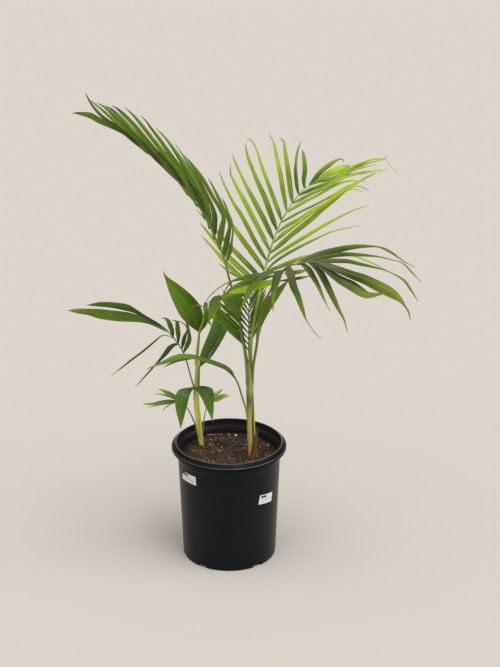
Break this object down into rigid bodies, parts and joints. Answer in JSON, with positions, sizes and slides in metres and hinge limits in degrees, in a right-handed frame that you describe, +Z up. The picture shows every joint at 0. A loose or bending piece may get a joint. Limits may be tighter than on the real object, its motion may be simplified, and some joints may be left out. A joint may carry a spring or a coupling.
{
  "type": "potted palm",
  "caption": "Young kentia palm with arching feather fronds, growing as two stems in a round black nursery pot with a rolled rim.",
  "frame": {"origin": "middle of the pot's flat underside", "axes": "+Z up along the pot's axis, -Y towards the viewer, +X to the right of the front view"},
  "size_m": [0.6403, 0.3229, 0.9142],
  "materials": {
    "pot": "satin black moulded plastic",
    "soil": "coarse damp peat and bark, rough",
    "label": "matt white paper sticker",
    "stem": "smooth green stem with fine lengthwise stripes",
    "sheath": "dry brown fibrous sheath",
    "leaf": "waxy green leaf with fine parallel veins",
    "leaf_bright": "thin yellow-green leaf with fine parallel veins"
  },
  "bodies": {
    "root": {"pot": "pot", "soil": "soil", "stem_large": "stem", "stem_small": "stem", "dry_sheath": "sheath", "label_left": "label", "label_right": "label", "frond_upper_left": "leaf", "frond_upper_right": "leaf_bright", "frond_right": "leaf", "frond_middle": "leaf", "leaf_bent_left": "leaf", "leaf_folded": "leaf", "leaf_small_top": "leaf", "leaf_small_dark": "leaf", "frond_small_left": "leaf", "leaf_small_front": "leaf", "frond_low_left": "leaf", "frond_low_right": "leaf"}
  },
  "joints": []
}
